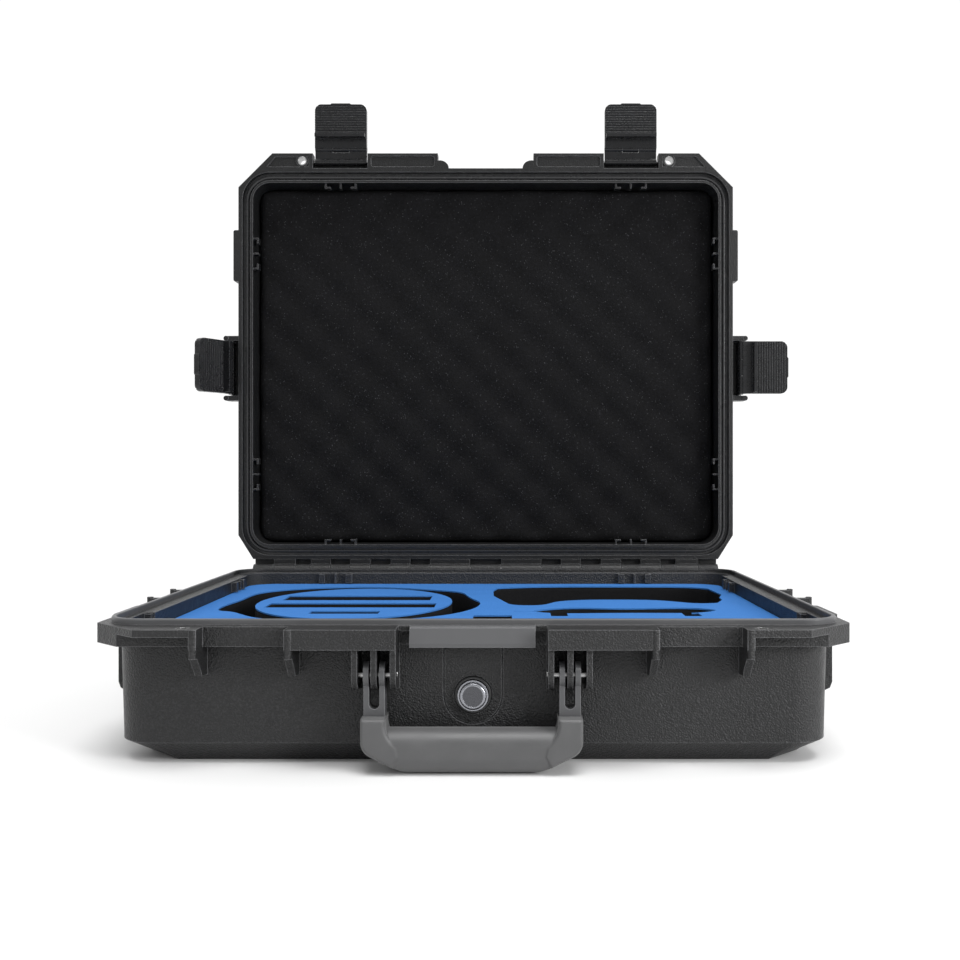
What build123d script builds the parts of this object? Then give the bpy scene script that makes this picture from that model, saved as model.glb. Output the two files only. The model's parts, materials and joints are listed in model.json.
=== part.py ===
"""Hard-shell drone carrying case, modelled open: the lid stands upright behind the base.

Millimetres, +Z up, +Y from the front wall to the hinge, origin at the middle of the flat bottom.
Base and lid share one plan outline, drawn on a mating plane with its Y axis measured from the
hinge line. The lid's plane is the base's plane turned a quarter turn about the hinge.
"""

import os
from math import cos, radians, sin

from build123d import *

os.makedirs("parts", exist_ok=True)

# Case envelope
CASE_W = 496.0  # across the side flanges
CASE_D = 392.0  # front flange line to rear flange line
BASE_H = 92.0  # floor to mating plane
LID_H = 60.0  # mating plane to the top of the closed lid
FACE_GAP = 0.2  # each mating face stands this far off the mating plane
HINGE_SETBACK = 11.5  # hinge axis behind the rear flange line
WALL = 3.5

# Plan outline, in the mating planes: X across, Y from the hinge axis (negative is forwards)
HALF_W = CASE_W / 2
REAR = -HINGE_SETBACK
FRONT = REAR - CASE_D
MID = (REAR + FRONT) / 2
PAD_PROUD = 15.0  # the front pads stand this far ahead of the flange line
PAD_FRONT = FRONT - PAD_PROUD
FRONT_CHAMFER = 34.0
REAR_CHAMFER = (15.0, 24.0)
CORNER_R = 32.0  # corner radius that the seal follows, at the flange line
HINGE_Y = HINGE_SETBACK + CASE_D / 2

# Flange and seal
FLANGE_H = 13.0
FLANGE_PLATE = 3.5
CORNER_PLATE = 5.0  # the base's corner pads are a plate without a skirt below it
SKIRT = 3.0
BODY_INSET = 11.0  # flange line to the outside of the wall
BASE_BODY_R = 26.0
FOOT_CUT = 25.0  # the corners of the flat bottom are cut straight across
LID_BODY_R = 21.0
RIM_INSET = BODY_INSET + WALL  # flange line to the inside of the wall
LIP_INSET = (6.3, 9.7)
LIP_H = 3.9
LIP_ROUND = 1.2
GROOVE_INSET = (4.0, 12.0)
GROOVE_H = 8.6
GASKET_STRIP_H = 1.6
GASKET_BEAD_INSET = (6.3, 9.7)
GASKET_BEAD_LOW = LIP_H + 0.35
GASKET_ROUND = 1.5
DRAFT_INSET = 1.6  # the walls come in this much from the mating plane to the chamfer
BOTTOM_CHAMFER = 14.0
TOP_CHAMFER = 12.0

# Latches. Each bay is seen from its side: u is outwards from the flange line, w is towards the lid
BAY_GAP = 55.0  # clear width between a bay's fins
FIN_T = 5.0
FRONT_BAY_X = 146.0
SIDE_BAY_Y = 4.5
LATCH_W = 52.0
LATCH_PIN_R = 1.5
LATCH_PIN_U = 8.5
LATCH_PIN_W = 9.0
LINK_L = 13.0
LINK_T = 3.2
BARREL_R = 3.4
RUNNING = 0.08  # radial clearance of a turning pin
BAY_WEB_U = 10.0  # the lid's web behind a latch pin reaches this far out
LEVER_END = 44.0
LEVER_Y = (-4.6, 2.0)  # inner and outer faces of the lever, from its pin
LEVER_KNUCKLE_W = 16.0
CLAW_X = (9.4, 12.8)
CLAW_REACH = 13.0
RIB_PITCH = 2.5

# Handle and its lugs
ARM_X = 62.3
ARM_W = 13.6
ARM_T = 11.0
LUG_SPACING = 12.2
LUG_T = 3.8
LUG_R = 9.5
EYE_R = 8.5
SHANK_LOW_Z = 20.0  # foot of an arm, inside the grip
HANDLE_PIN_R = 2.0
HANDLE_PIN_Z = 61.5
HANDLE_PIN_U = 2.0
BLOCK_X = 48.0  # the handle pads start this far from the centre
CENTRE_HALF_W = 40.4  # half width of the sloping face between them
NOTCH_D = 4.5
FORK_SLOT_W = 6.6
FORK_LOW_Z = 40.3
GRIP_HALF_W = 70.0
GRIP_OPENING = 54.5
GRIP_LOW_Z = 0.4
GRIP_TOP_Z = 28.6
GRIP_Y = -202.0
GRIP_T = 23.0
GRIP_END_T = 24.0
ARM_LOW_Z = 35.7  # where the soft grip starts on each arm

# Hinge
KNUCKLE_R = 6.5
HINGE_PIN_R = 2.0
KNUCKLE_GAP = 0.3
# X spans on the right-hand side; the left-hand side mirrors them
BASE_KNUCKLES = [(0, 15.5), (56, 75.2), (95.5, 115.2), (136, 155), (175.5, 190.2), (212.5, 232.5)]
LID_KNUCKLES = [(15.5, 56), (75.2, 95.5), (115.2, 136), (155, 175.5), (190.2, 212.5)]

# Front panel and pressure valve
PANEL_HALF_W = 19.5
VALVE_Z = 45.7
VALVE_HOLE_R = 8.0
VALVE_FLANGE_R = 12.2
VALVE_KNOB_R = 10.0
VALVE_CAP_R = 8.9
VALVE_DISC_R = 6.7
VALVE_STEM_R = 3.0

# Padlock holes, through the corner pads
PADLOCK_R = 3.6
PADLOCK_BUSH_R = 4.4
PADLOCK_BOSS_R = 6.2
PADLOCK_X = 184.0
PADLOCK_U = 7.5

# Ledges inside the base's side walls
LEDGE_W = 6.5
LEDGE_Y = (-123.0, 156.0)

# Foam
FOAM_HALF_W = 226.5
FOAM_HALF_D = 179.3
FOAM_CORNER_R = 24.0
FOAM_FLOOR_TOP = 30.0
FOAM_CORE_TOP = 80.4
FOAM_TOP = 81.5
FOAM_GAP = 0.4
LID_FOAM_FACE = 20.0  # mating plane to the tips of the lid foam
ISLAND = (-105.6, 27.5, 81.0, 107.5)  # centre X, centre Y, half width, half depth

FLANGE_Y = HINGE_Y + FRONT
WALL_Y = FLANGE_Y + BODY_INSET
CHAMFER_Z = BOTTOM_CHAMFER - BASE_H
base_mating = Plane(origin=(0, HINGE_Y, BASE_H))
lid_mating = Plane(origin=(0, HINGE_Y, BASE_H), x_dir=(1, 0, 0), z_dir=(0, 1, 0))

# A bay's plane has its origin on the flange line at the mating plane, X outwards, Y towards the
# lid's top, and its normal along the latch's pins.
base_bays = {
    "front_left": Plane(origin=(-FRONT_BAY_X, FLANGE_Y, BASE_H), x_dir=(0, -1, 0), z_dir=(-1, 0, 0)),
    "front_right": Plane(origin=(FRONT_BAY_X, FLANGE_Y, BASE_H), x_dir=(0, -1, 0), z_dir=(-1, 0, 0)),
    "side_left": Plane(origin=(-HALF_W, SIDE_BAY_Y, BASE_H), x_dir=(-1, 0, 0), z_dir=(0, 1, 0)),
    "side_right": Plane(origin=(HALF_W, SIDE_BAY_Y, BASE_H), x_dir=(1, 0, 0), z_dir=(0, -1, 0)),
}
LID_FRONT_Z = BASE_H - FRONT
LID_SIDE_Z = BASE_H + HINGE_Y - SIDE_BAY_Y
lid_bays = {
    "front_left": Plane(origin=(-FRONT_BAY_X, HINGE_Y, LID_FRONT_Z), x_dir=(0, 0, 1), z_dir=(-1, 0, 0)),
    "front_right": Plane(origin=(FRONT_BAY_X, HINGE_Y, LID_FRONT_Z), x_dir=(0, 0, 1), z_dir=(-1, 0, 0)),
    "side_left": Plane(origin=(-HALF_W, HINGE_Y, LID_SIDE_Z), x_dir=(-1, 0, 0), z_dir=(0, 0, -1)),
    "side_right": Plane(origin=(HALF_W, HINGE_Y, LID_SIDE_Z), x_dir=(1, 0, 0), z_dir=(0, 0, 1)),
}
# How each latch is left: the link's angle and the lever's angle from it. Closed is (-90, 0).
latch_rest = {
    "front_left": (0, 0),
    "front_right": (0, 0),
    "side_left": (-90, 30),
    "side_right": (-90, 90),
}


def save(builder, label):
    """Labels a finished sub-part and writes its STEP file."""
    builder.part.label = label
    export_step(builder.part, f"parts/{label}.step")


def case_rectangle(inset, radius, mode=Mode.ADD):
    """The plan rectangle at an inset from the flange line."""
    with Locations((0, MID)):
        RectangleRounded(CASE_W - 2 * inset, CASE_D - 2 * inset, radius, mode=mode)


def seal_ring(plane, inset_out, inset_in):
    """A plan ring that follows the seal between two insets."""
    with BuildSketch(plane) as ring:
        case_rectangle(inset_out, CORNER_R - inset_out)
        case_rectangle(inset_in, CORNER_R - inset_in, mode=Mode.SUBTRACT)
    return ring.sketch


def flange_outline(plane, skirt=0.0):
    """The flange's plan outline: front pads and chamfered corners, with the latch bays left open."""
    bay_in = FRONT_BAY_X - BAY_GAP / 2
    bay_out = FRONT_BAY_X + BAY_GAP / 2
    with BuildSketch(plane) as outline:
        for side in (-1, 1):
            with BuildLine():
                Polyline(
                    (0, REAR),
                    (side * (HALF_W - REAR_CHAMFER[0]), REAR),
                    (side * HALF_W, REAR - REAR_CHAMFER[1]),
                    (side * HALF_W, PAD_FRONT + FRONT_CHAMFER),
                    (side * (HALF_W - FRONT_CHAMFER), PAD_FRONT),
                    (side * bay_out, PAD_FRONT),
                    (side * bay_out, FRONT),
                    (side * bay_in, FRONT),
                    (side * bay_in, PAD_FRONT),
                    (side * BLOCK_X, PAD_FRONT),
                    (side * BLOCK_X, FRONT),
                    (0, FRONT),
                    close=True,
                )
            make_face()
        if skirt:
            offset(amount=-skirt, kind=Kind.INTERSECTION, mode=Mode.REPLACE)
    return outline.sketch


def tub(base_plane, levels, foot=None, mode=Mode.ADD):
    """A straight-sided loft through plan rectangles, each (offset along the plane, inset, radius).

    A foot is a last rectangle, given in the same way, whose corners are cut across, not rounded.
    """
    sections = []
    for height, inset, radius in levels:
        with BuildSketch(base_plane.offset(height)) as section:
            case_rectangle(inset, radius)
        sections.append(section.sketch)
    if foot:
        height, inset, cut = foot
        with BuildSketch(base_plane.offset(height)) as section:
            with Locations((0, MID)):
                Rectangle(CASE_W - 2 * inset, CASE_D - 2 * inset)
            chamfer(section.vertices(), cut)
        sections.append(section.sketch)
    loft(sections, ruled=True, mode=mode)


def knuckles(base_plane, sign, spans, hole_radius):
    """Hinge knuckles about the plane's X axis, with arms to the rear flange on the shell's side."""
    for low, high in spans:
        for side in (-1, 1):
            start = low + KNUCKLE_GAP if low else 0
            width = high - KNUCKLE_GAP - start
            centre = base_plane.from_local_coords((side * (start + width / 2), 0, 0))
            hinge_view = Plane(origin=centre, x_dir=base_plane.y_dir, z_dir=(1, 0, 0))
            # Seen along +X the shell's side of the mating plane is the view's Y or its opposite
            up = sign if base_plane.z_dir.dot(hinge_view.y_dir) > 0 else -sign
            with BuildSketch(hinge_view) as profile:
                Circle(KNUCKLE_R)
                with Locations((-HINGE_SETBACK / 2, up * KNUCKLE_R / 2)):
                    Rectangle(HINGE_SETBACK, KNUCKLE_R - FACE_GAP)
                with Locations((-HINGE_SETBACK, up * (KNUCKLE_R + 1) / 2)):
                    Rectangle(4, KNUCKLE_R + 1 - 2 * FACE_GAP)
            extrude(profile.sketch, amount=width / 2, both=True)
    hinge_view = Plane(origin=base_plane.origin, x_dir=base_plane.y_dir, z_dir=(1, 0, 0))
    with BuildSketch(hinge_view) as bore:
        Circle(hole_radius)
    extrude(bore.sketch, amount=HALF_W, both=True, mode=Mode.SUBTRACT)


def fin(bay, along, points, thickness=FIN_T):
    """An upright fin: a profile in (u, w), centred at a distance along the bay's pin axis."""
    with BuildSketch(bay.offset(along)) as profile:
        with BuildLine():
            Polyline(*points, close=True)
        make_face()
    extrude(profile.sketch, amount=thickness / 2, both=True)


def bay_fins(bay, points, low, high, tip):
    """The two fins beside a latch bay, with a half-round bar on each tip between two heights."""
    for side in (-1, 1):
        along = side * (BAY_GAP + FIN_T) / 2
        fin(bay, along, points)
        foot = bay.from_local_coords((tip - FIN_T / 2, low, along))
        disc(Plane(origin=foot, x_dir=bay.x_dir, z_dir=bay.y_dir), FIN_T / 2, high - low)


def wall_brackets(base_plane, sign, low, high, rear_side_inset):
    """C-shaped pairs of ribs with a middle rib on the four inner walls, for a panel frame."""
    reach, rib, half_pitch = 5.0, 1.6, 15.0
    inner_y = CASE_D / 2 - RIM_INSET
    with BuildSketch(base_plane.offset(sign * low)) as ribs:
        for side in (-1, 1):
            for end in (-1, 1):
                wall_y = MID + end * inner_y
                with Locations((side * FRONT_BAY_X, wall_y - end * reach / 2)):
                    Rectangle(rib, reach)
                for step in (-1, 1):
                    rib_x = side * FRONT_BAY_X + step * half_pitch
                    with Locations((rib_x, wall_y - end * (reach / 2 - 1))):
                        Rectangle(rib, reach + 2)
                    with Locations((rib_x - step * 2, wall_y - end * (reach - rib / 2))):
                        Rectangle(4 + rib, rib)
                wall_x = side * (HALF_W - (rear_side_inset if end > 0 else RIM_INSET))
                spot_y = MID + end * 111.0
                with Locations((wall_x - side * reach / 2, spot_y)):
                    Rectangle(reach, rib)
                for step in (-1, 1):
                    rib_y = spot_y + step * half_pitch
                    with Locations((wall_x - side * (reach / 2 - 1), rib_y)):
                        Rectangle(reach + 2, rib)
                    with Locations((wall_x - side * (reach - rib / 2), rib_y - step * 2)):
                        Rectangle(rib, 4 + rib)
    extrude(ribs.sketch, amount=sign * (high - low))


def disc(plane, radius, height, mode=Mode.ADD):
    """A round boss or bore along a plane's normal."""
    with BuildSketch(plane) as face:
        Circle(radius)
    extrude(face.sketch, amount=height, mode=mode)


def front_view(depth_y, height=0.0):
    """A plane that looks at the case's front from outside: X right, Y up, normal towards -Y."""
    return Plane(origin=(0, depth_y, height), x_dir=(1, 0, 0), z_dir=(0, -1, 0))


# ---------------------------------------------------------------- base shell

IN = -BODY_INSET - DRAFT_INSET - 0.4
PIN_DROP = HANDLE_PIN_Z - BASE_H
BAY_IN = FRONT_BAY_X - BAY_GAP / 2
BAY_OUT = FRONT_BAY_X + BAY_GAP / 2
base_fin = [(IN, -1), (PAD_PROUD - 1.5, -1), (PAD_PROUD - 1.5, -18), (3, -28), (0, -32), (IN, -33)]
TAB_Y = (-134.0, -82.5)
tab_fin = [(IN, -4), (1, -4), (1, -47), (-0.6, -51.4), (-4, -53), (IN, -53)]
lug_profile = [
    (IN, -2),
    (HANDLE_PIN_U + LUG_R, -2),
    (HANDLE_PIN_U + LUG_R, PIN_DROP),
    (HANDLE_PIN_U, PIN_DROP - LUG_R),
    (IN, PIN_DROP - LUG_R - 2),
]
lug_view = Plane(origin=(0, FLANGE_Y, BASE_H), x_dir=(0, -1, 0), z_dir=(-1, 0, 0))
pin_view = Plane(origin=(0, FLANGE_Y - HANDLE_PIN_U, HANDLE_PIN_Z), x_dir=(0, -1, 0), z_dir=(-1, 0, 0))

with BuildPart() as base_shell:
    # Flange, hollow between its skirt and the wall
    extrude(flange_outline(base_mating.offset(-FACE_GAP)), amount=-FLANGE_H)
    corner_w = HALF_W - BAY_OUT - FIN_T
    corner_x = BAY_OUT + FIN_T + corner_w / 2
    with BuildSketch(base_mating.offset(-FACE_GAP - FLANGE_H)) as hollow:
        add(flange_outline(Plane.XY, SKIRT))
        case_rectangle(BODY_INSET, BASE_BODY_R, mode=Mode.SUBTRACT)
        with Locations((corner_x, FRONT), (-corner_x, FRONT)):
            Rectangle(corner_w, 2 * SKIRT, mode=Mode.SUBTRACT)
    extrude(hollow.sketch, amount=FLANGE_H - FLANGE_PLATE, mode=Mode.SUBTRACT)
    # The skirt follows the flange line behind the corner pads, which are a plain plate
    with BuildSketch(base_mating.offset(-FACE_GAP - FLANGE_H)) as corners:
        with Locations((corner_x, FRONT - PAD_PROUD / 2), (-corner_x, FRONT - PAD_PROUD / 2)):
            Rectangle(corner_w, PAD_PROUD)
    extrude(corners.sketch, amount=FLANGE_H - CORNER_PLATE, mode=Mode.SUBTRACT)
    tub(
        base_mating,
        [
            (-FACE_GAP, BODY_INSET, BASE_BODY_R),
            (CHAMFER_Z, BODY_INSET + DRAFT_INSET, BASE_BODY_R),
        ],
        foot=(-BASE_H, BODY_INSET + DRAFT_INSET + BOTTOM_CHAMFER, FOOT_CUT),
    )
    # The tongue that presses on the lid's gasket
    extrude(seal_ring(base_mating.offset(-FACE_GAP - 1), *LIP_INSET), amount=LIP_H + 1 + FACE_GAP)
    fillet(base_shell.edges().group_by(Axis.Z)[-1], LIP_ROUND)
    # Latch bay fins, on the front and the sides
    for bay in base_bays.values():
        bay_fins(bay, base_fin, -19, -FACE_GAP, PAD_PROUD + 1)
    # Side tabs ahead of the side latches, each over a pair of stiffening fins
    for side in (-1, 1):
        tab_view = Plane(origin=(side * HALF_W, 0, BASE_H), x_dir=(side, 0, 0), z_dir=(0, -side, 0))
        with BuildSketch(Plane.XY.offset(BASE_H - FACE_GAP)) as tab:
            with Locations((side * (HALF_W + 1), (TAB_Y[0] + TAB_Y[1]) / 2)):
                RectangleRounded(8, TAB_Y[1] - TAB_Y[0], 2)
        extrude(tab.sketch, amount=-FLANGE_H)
        fin(tab_view, -side * (TAB_Y[0] + FIN_T / 2), tab_fin)
        fin(tab_view, -side * (TAB_Y[1] - FIN_T / 2), tab_fin)
    # Handle lugs, three to each side
    for side in (-1, 1):
        for step in (-1, 0, 1):
            offset_x = side * ARM_X + step * LUG_SPACING
            fin(lug_view, -offset_x, lug_profile, LUG_T)
            disc(pin_view.offset(-offset_x - LUG_T / 2), LUG_R, LUG_T)
    # Centre of the front flange: a face that slopes forward to a ridge at its foot
    with BuildSketch(lug_view) as wedge:
        with BuildLine():
            low_w = -FLANGE_H - FACE_GAP
            Polyline((-1, -1), (0.4, -1), (4, -10.5), (4, low_w), (-1, low_w), close=True)
        make_face()
    extrude(wedge.sketch, amount=CENTRE_HALF_W, both=True)
    # Notches that part it from the handle pads
    notch_w = BLOCK_X - CENTRE_HALF_W
    with BuildSketch(base_mating.offset(1)) as notches:
        for side in (-1, 1):
            with Locations((side * (CENTRE_HALF_W + notch_w / 2), FRONT + NOTCH_D / 2 - 0.5)):
                Rectangle(notch_w, NOTCH_D + 1)
    extrude(notches.sketch, amount=-FLANGE_H - 2, mode=Mode.SUBTRACT)
    # Rear feet that the closed case stands on when it is set down on its hinge side
    for side in (-1, 1):
        rear_view = Plane(origin=(side * 200, FLANGE_Y + CASE_D, BASE_H), x_dir=(0, 1, 0), z_dir=(1, 0, 0))
        fin(rear_view, 0, [(IN, -4), (0, -4), (0, -60), (-6, -68), (IN, -68)], 8)
    knuckles(base_mating, -1, BASE_KNUCKLES, HINGE_PIN_R)
    # Inside of the tub
    tub(
        base_mating,
        [
            (LIP_H + 1, RIM_INSET, BASE_BODY_R - WALL),
            (CHAMFER_Z, RIM_INSET + DRAFT_INSET, BASE_BODY_R - WALL),
        ],
        foot=(WALL - BASE_H, RIM_INSET + DRAFT_INSET + BOTTOM_CHAMFER - WALL, FOOT_CUT - 2),
        mode=Mode.SUBTRACT,
    )
    # Ledges along the side walls, up to the mating plane
    with BuildSketch(Plane.XY.offset(BASE_H - FACE_GAP)) as ledges:
        for side in (-1, 1):
            with Locations((side * (HALF_W - RIM_INSET - LEDGE_W / 2 + 1), (LEDGE_Y[0] + LEDGE_Y[1]) / 2)):
                Rectangle(LEDGE_W + 2, LEDGE_Y[1] - LEDGE_Y[0])
    extrude(ledges.sketch, amount=-24)
    wall_brackets(base_mating, -1, 1.0, 9.5, RIM_INSET + LEDGE_W)
    # Pin bores, padlock holes, panel groove and valve seat
    with BuildSketch(pin_view) as pin_bore:
        Circle(HANDLE_PIN_R)
    extrude(pin_bore.sketch, amount=ARM_X + 30, both=True, mode=Mode.SUBTRACT)
    for side in (-1, 1):
        bush_foot = (side * PADLOCK_X, FLANGE_Y - PADLOCK_U, BASE_H - CORNER_PLATE - FACE_GAP)
        disc(Plane(origin=bush_foot).offset(-1), PADLOCK_BUSH_R, CORNER_PLATE + 2, Mode.SUBTRACT)
    with BuildSketch(front_view(WALL_Y + 2.2)) as groove:
        for half, mode in ((PANEL_HALF_W, Mode.ADD), (PANEL_HALF_W - 0.9, Mode.SUBTRACT)):
            with Locations((0, VALVE_Z)):
                Circle(half, mode=mode)
            with Locations((0, (VALVE_Z + BASE_H - FLANGE_H) / 2)):
                Rectangle(2 * half, BASE_H - FLANGE_H - VALVE_Z, mode=mode)
    extrude(groove.sketch, amount=4, mode=Mode.SUBTRACT)
    disc(front_view(WALL_Y + 2.0, VALVE_Z), VALVE_FLANGE_R + 0.3, 5, Mode.SUBTRACT)
    disc(front_view(WALL_Y + 12, VALVE_Z), VALVE_HOLE_R, 14, Mode.SUBTRACT)
save(base_shell, "base_shell")

# Steel pins of the hinge and the handle
for side, name in ((-1, "left"), (1, "right")):
    with BuildPart() as hinge_pin:
        hinge_view = Plane(origin=(side * 0.5, HINGE_Y, BASE_H), x_dir=(0, 1, 0), z_dir=(side, 0, 0))
        disc(hinge_view, HINGE_PIN_R, BASE_KNUCKLES[-1][1] - 1.5)
    save(hinge_pin, f"hinge_pin_{name}")
    with BuildPart() as handle_pin:
        pin_reach = LUG_SPACING + LUG_T / 2 + 0.6
        disc(pin_view.offset(-side * ARM_X - pin_reach), HANDLE_PIN_R, 2 * pin_reach)
    save(handle_pin, f"handle_pin_{name}")

# Steel bushes in the padlock holes
with BuildPart() as base_bushes:
    for side in (-1, 1):
        bush_foot = (side * PADLOCK_X, FLANGE_Y - PADLOCK_U, BASE_H - CORNER_PLATE - FACE_GAP)
        disc(Plane(origin=bush_foot), PADLOCK_BUSH_R, CORNER_PLATE)
        disc(Plane(origin=bush_foot), PADLOCK_R, CORNER_PLATE, Mode.SUBTRACT)
save(base_bushes, "base_padlock_bushes")

# ---------------------------------------------------------------- pressure valve

SEAT_Y = WALL_Y + 2.0
INNER_Y = WALL_Y + WALL + DRAFT_INSET / 2 + 0.4
with BuildPart() as valve_body:
    disc(front_view(SEAT_Y, VALVE_Z), VALVE_FLANGE_R, 3.0)
    fillet(valve_body.edges().sort_by(Axis.Y)[0], 1.0)
    disc(front_view(SEAT_Y + 8.0, VALVE_Z), VALVE_HOLE_R, 8.0)
    disc(front_view(SEAT_Y - 0.6, VALVE_Z), VALVE_KNOB_R + 0.6, 3.0, Mode.SUBTRACT)
    disc(front_view(SEAT_Y + 9.0, VALVE_Z), VALVE_STEM_R + RUNNING, 20, Mode.SUBTRACT)
save(valve_body, "valve_body")

with BuildPart() as valve_o_ring:
    disc(front_view(INNER_Y + 1.6, VALVE_Z), 11.0, 1.6)
    disc(front_view(INNER_Y + 1.6, VALVE_Z), VALVE_HOLE_R, 1.6, Mode.SUBTRACT)
    fillet(valve_o_ring.edges().filter_by(GeomType.CIRCLE).group_by(SortBy.RADIUS)[-1], 0.6)
save(valve_o_ring, "valve_o_ring")

with BuildPart() as valve_nut:
    with BuildSketch(front_view(INNER_Y + 5.2, VALVE_Z)) as hexagon:
        RegularPolygon(12.0, 6)
        Circle(VALVE_HOLE_R, mode=Mode.SUBTRACT)
    extrude(amount=3.6)
save(valve_nut, "valve_nut")

KNOB_Y = SEAT_Y - 0.8
with BuildPart() as valve_knob:
    disc(front_view(KNOB_Y, VALVE_Z), VALVE_KNOB_R, 4.2)
    with BuildSketch(front_view(KNOB_Y, VALVE_Z)) as knurls:
        with PolarLocations(VALVE_KNOB_R + 0.35, 36):
            Circle(0.55)
    extrude(amount=3.2, mode=Mode.SUBTRACT)
    # Raised cap with a rounded rim and a shallow dish
    disc(front_view(KNOB_Y - 4.2, VALVE_Z), VALVE_CAP_R, 3.0)
    fillet(valve_knob.edges().sort_by(Axis.Y)[0], 1.6)
    disc(front_view(KNOB_Y - 6.2, VALVE_Z), VALVE_DISC_R, 3.0, Mode.SUBTRACT)
    disc(front_view(SEAT_Y + 7.6, VALVE_Z), VALVE_STEM_R, 7.6 + 1.0)
save(valve_knob, "valve_knob")

# ---------------------------------------------------------------- handle

with BuildPart() as handle_frame:
    for side in (-1, 1):
        # One arm, an eye at the pin and a straight shank into the grip
        with BuildSketch(pin_view.offset(-side * ARM_X)) as arm:
            Circle(EYE_R)
            with Locations((0, -(HANDLE_PIN_Z - SHANK_LOW_Z) / 2)):
                Rectangle(ARM_T, HANDLE_PIN_Z - SHANK_LOW_Z)
        extrude(arm.sketch, amount=ARM_W / 2, both=True)
    # Core bar that joins the arms inside the grip
    with BuildSketch(front_view(FLANGE_Y - HANDLE_PIN_U - ARM_T / 2, 0)) as core_bar:
        with Locations((0, SHANK_LOW_Z + 1)):
            RectangleRounded(2 * ARM_X, 10, 4)
    extrude(core_bar.sketch, amount=-ARM_T)
    for side in (-1, 1):
        # Fork slot around the middle lug
        with BuildSketch(front_view(FLANGE_Y - 20, 0)) as slot:
            with Locations((side * ARM_X, FORK_LOW_Z + FORK_SLOT_W / 2)):
                Circle(FORK_SLOT_W / 2)
            with Locations((side * ARM_X, FORK_LOW_Z + FORK_SLOT_W / 2 + 20)):
                Rectangle(FORK_SLOT_W, 40)
        extrude(slot.sketch, amount=-40, mode=Mode.SUBTRACT)
    with BuildSketch(pin_view) as arm_bore:
        Circle(HANDLE_PIN_R + RUNNING)
    extrude(arm_bore.sketch, amount=ARM_X + 30, both=True, mode=Mode.SUBTRACT)
save(handle_frame, "handle_frame")

with BuildPart() as grip_end:
    # One flat-faced end that takes an arm and curves into the bar
    with BuildSketch(front_view(GRIP_Y - GRIP_END_T / 2)) as end_outline:
        with BuildLine():
            Polyline((45.5, 12), (50, 5), (64.5, 12.2))
            ThreePointArc((64.5, 12.2), (68.6, 16.2), (GRIP_HALF_W, 22))
            Polyline((GRIP_HALF_W, 22), (GRIP_HALF_W, ARM_LOW_Z), (GRIP_OPENING, ARM_LOW_Z), (GRIP_OPENING, 31))
            ThreePointArc((GRIP_OPENING, 31), (52.3, 24.2), (47, 18.5))
            Line((47, 18.5), (45.5, 12))
        make_face()
    extrude(end_outline.sketch, amount=-GRIP_END_T)
    front_face = grip_end.faces().sort_by(Axis.Y)[0]
    back_face = grip_end.faces().sort_by(Axis.Y)[-1]
    chamfer(front_face.edges() + back_face.edges(), 1.4)

with BuildPart() as handle_grip:
    # Round bar, cut to the grip's outline
    with BuildSketch(Plane.YZ) as bar_section:
        with Locations((GRIP_Y, (GRIP_LOW_Z + GRIP_TOP_Z) / 2)):
            RectangleRounded(GRIP_T, GRIP_TOP_Z - GRIP_LOW_Z, 11)
    extrude(bar_section.sketch, amount=GRIP_OPENING, both=True)
    with BuildSketch(front_view(GRIP_Y - GRIP_T)) as low_outline:
        with BuildLine():
            Polyline((41, GRIP_LOW_Z), (64.5, 12.2), (64.5, 40), (0, 40), (0, GRIP_LOW_Z), close=True)
        make_face()
        mirror(about=Plane.YZ)
    extrude(low_outline.sketch, amount=-2 * GRIP_T, mode=Mode.INTERSECT)
    add(grip_end.part)
    add(grip_end.part.mirror(Plane.YZ))
    add(handle_frame.part, mode=Mode.SUBTRACT)
save(handle_grip, "handle_grip")

# ---------------------------------------------------------------- base foam


def pockets(plane):
    """The cut-outs in the base foam, as seen from above, without the island that fills the ring."""
    with BuildSketch(plane) as cuts:
        # Ring around the island
        with BuildLine():
            rear_arc = Spline(
                (-210, -2), (-206, 45), (-198, 108), (-176, 132), (-142, 147), (-114, 151),
                (-80, 143), (-50, 127), (-20, 103), (-14, 80), (-6, 46), (-0.5, 17),
                tangents=((0, 1), (0, -1)),
            )
            Spline(
                rear_arc @ 1, (-6, -20), (-27, -59), (-62, -84), (-105, -93), (-145, -86),
                (-172, -68), (-196, -36), rear_arc @ 0,
                tangents=((0, -1), (0, 1)),
            )
        make_face()
        # Long pocket at the rear right
        with BuildLine():
            Polyline((13, 141), (9, 118), (10, 73), (22, 20))
            Spline((22, 20), (34, 5), (48, 6), (64, 30), (84, 42), (122, 45), (156, 37), (178, 20), (198, 22))
            Polyline((198, 22), (206, 44), (207, 62), (213, 84), (210, 136))
            Spline((210, 136), (190, 151), (150, 155), (100, 156), (45, 152), (13, 141))
        make_face()
        # Shallow-curved pocket in front of it, with two feet
        with BuildLine():
            Spline((41, -35), (52, -22), (66, -14), (92, -13), (110, -16), (142, -13), (166, -12), (188, -27))
            Spline((188, -27), (172, -42), (138, -45), (92, -46), (60, -46), (41, -35))
        make_face()
        for foot_x in (62, 164):
            with Locations((foot_x, -54)):
                Rectangle(13, 20)
        with Locations((35, -34.5)):
            Rectangle(16, 1.4)
        # Rectangular pockets along the front
        with Locations((11, -97)):
            Rectangle(29.3, 76)
        with Locations((158, -114)):
            Rectangle(96, 72)
        with Locations((-168, -136)):
            Rectangle(80, 46)
    return cuts.sketch


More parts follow.
